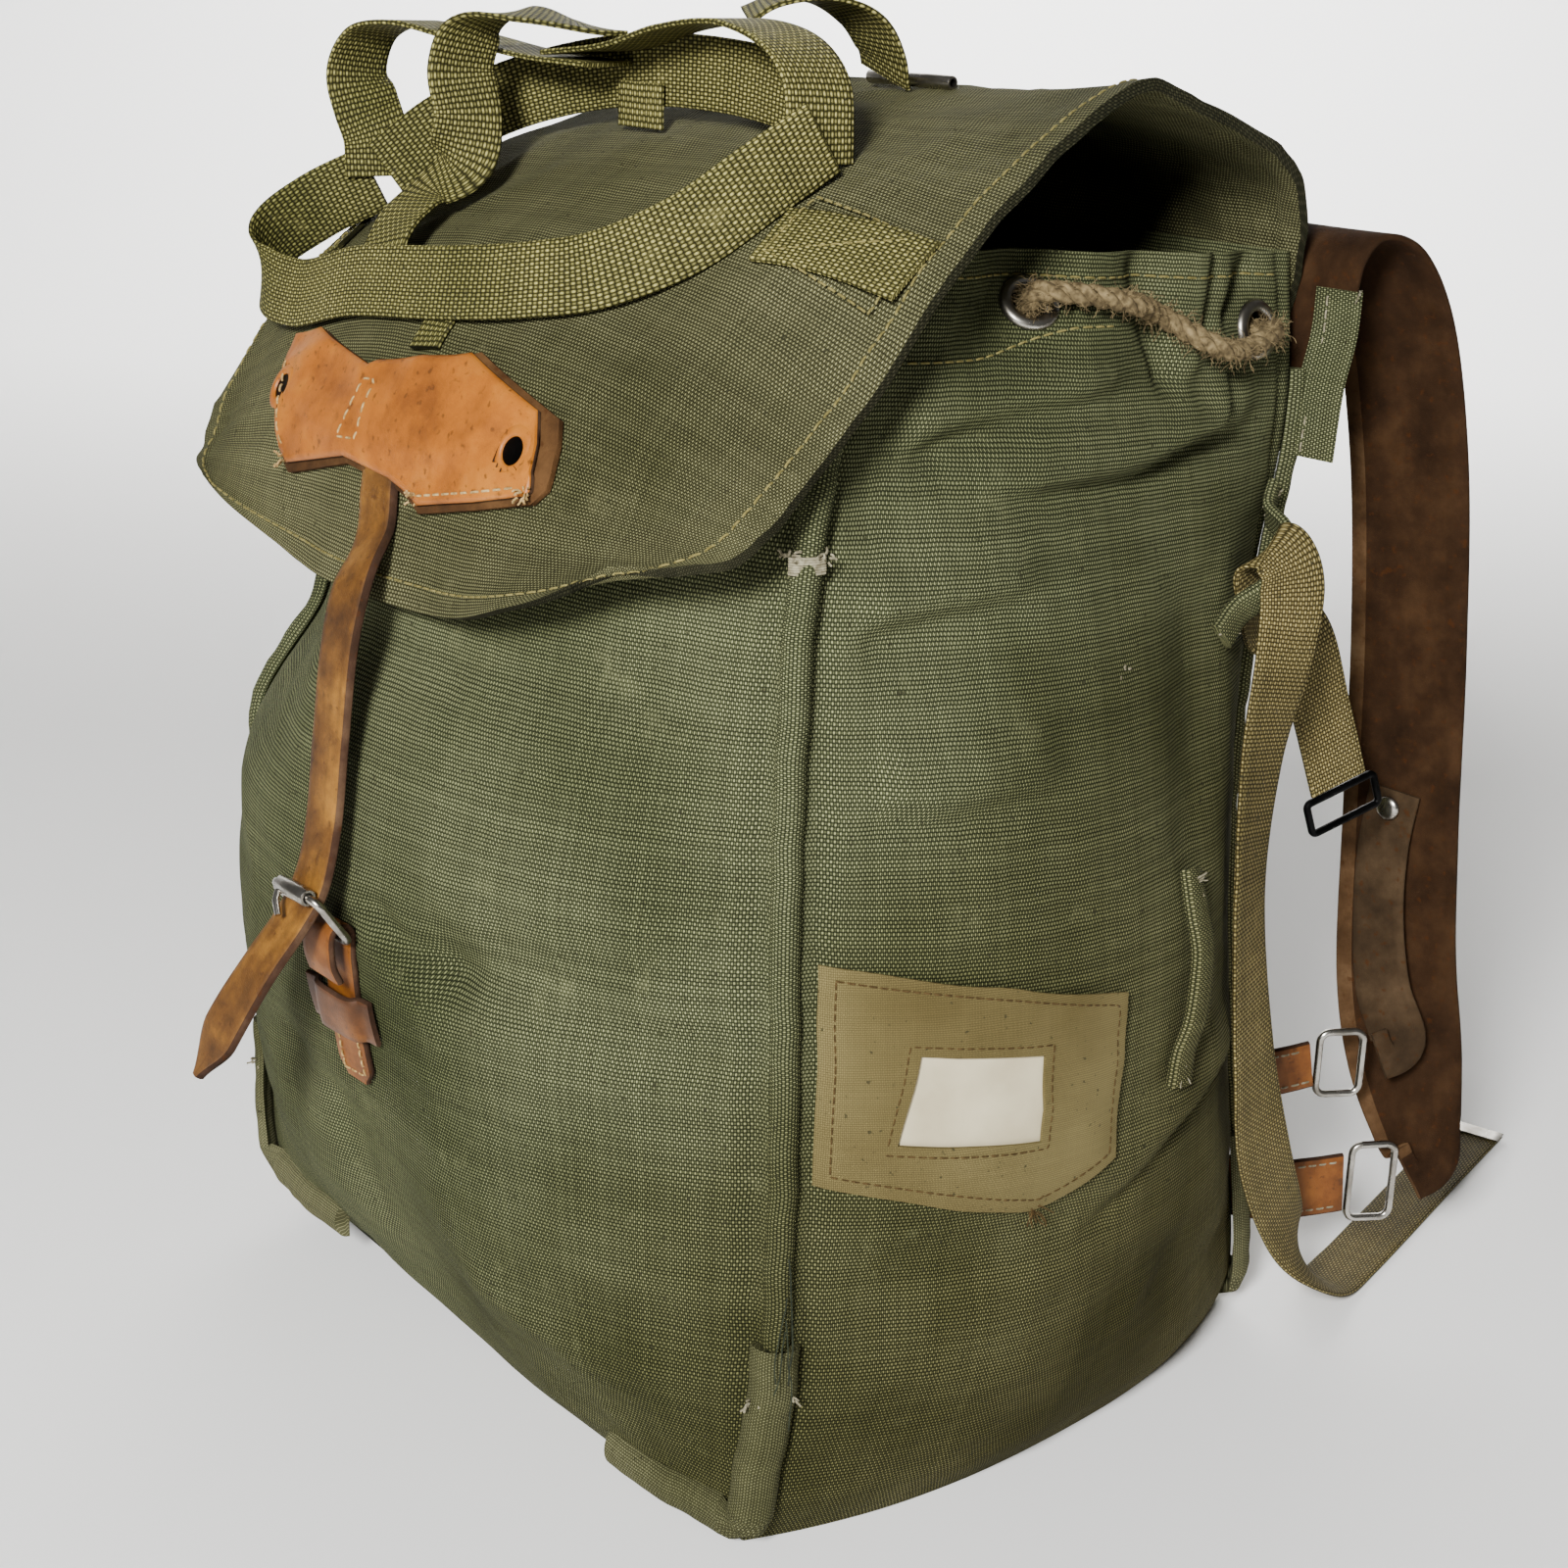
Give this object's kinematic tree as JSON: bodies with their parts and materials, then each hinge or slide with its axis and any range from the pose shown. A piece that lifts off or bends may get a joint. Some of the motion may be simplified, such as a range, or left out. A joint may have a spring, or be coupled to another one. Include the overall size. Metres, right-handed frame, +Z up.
{
  "type": "military rucksack",
  "caption": "Canvas rucksack standing full, with a strapped-down flap, web harness, drawcord mouth, side loops and leather shoulder straps.",
  "frame": {"origin": "middle of the base, on the floor under the bag", "axes": "+Z up, the front with the closing strap faces -Y, the wearer's side is +Y, the side with the label is +X"},
  "size_m": [0.4254, 0.5864, 0.5075],
  "materials": {
    "canvas": "coarse plain-woven cotton canvas, matt",
    "binding": "woven cotton binding tape, matt",
    "webbing": "woven webbing, slight sheen",
    "tan_leather": "vegetable-tanned leather, worn smooth",
    "brown_leather": "aged brown leather, flesh side out",
    "suede": "grey-brown split leather, matt",
    "steel": "nickel-plated steel, worn",
    "black_steel": "black lacquered steel",
    "rope": "hairy laid jute cord",
    "twill": "khaki twill cloth, matt",
    "card": "plain off-white card"
  },
  "bodies": {
    "root": {"auxiliary_strap_left": "suede", "auxiliary_strap_right": "suede", "back_panel": "canvas", "back_wing_left": "canvas", "back_wing_right": "canvas", "base_panel": "canvas", "binding_back_left": "binding", "binding_back_right": "binding", "binding_front_left": "binding", "binding_front_right": "binding", "buckle_chape": "tan_leather", "chape_keeper": "tan_leather", "closing_buckle": "steel", "closing_roller": "steel", "closing_strap": "brown_leather", "drawstring": "rope", "eyelet_front_left": "steel", "eyelet_front_right": "steel", "eyelet_rear_left": "steel", "eyelet_rear_right": "steel", "flap": "canvas", "front_panel": "canvas", "harness_anchor_front": "webbing", "harness_anchor_left": "webbing", "harness_anchor_rear": "webbing", "harness_anchor_right": "webbing", "harness_back_band": "webbing", "harness_bar": "steel", "harness_far_arch": "webbing", "harness_front_arch": "webbing", "harness_front_band": "webbing", "harness_left_arch": "webbing", "harness_right_arch": "webbing", "label_card": "card", "label_pocket": "twill", "loop_lower_left": "canvas", "loop_lower_right": "canvas", "loop_upper_left": "canvas", "loop_upper_right": "canvas", "rivet_left": "steel", "rivet_right": "steel", "seam_front_left": "canvas", "seam_front_right": "canvas", "shoulder_strap_left": "brown_leather", "shoulder_strap_right": "brown_leather", "side_buckle": "black_steel", "side_panel_left": "canvas", "side_panel_right": "canvas", "side_strap": "webbing", "strap_tip": "steel", "tab_buckle_lower_left": "steel", "tab_buckle_lower_right": "steel", "tab_buckle_upper_left": "steel", "tab_buckle_upper_right": "steel", "tab_lower_left": "tan_leather", "tab_lower_right": "tan_leather", "tab_upper_left": "tan_leather", "tab_upper_right": "tan_leather", "yoke": "tan_leather", "yoke_backing": "brown_leather"}
  },
  "joints": []
}
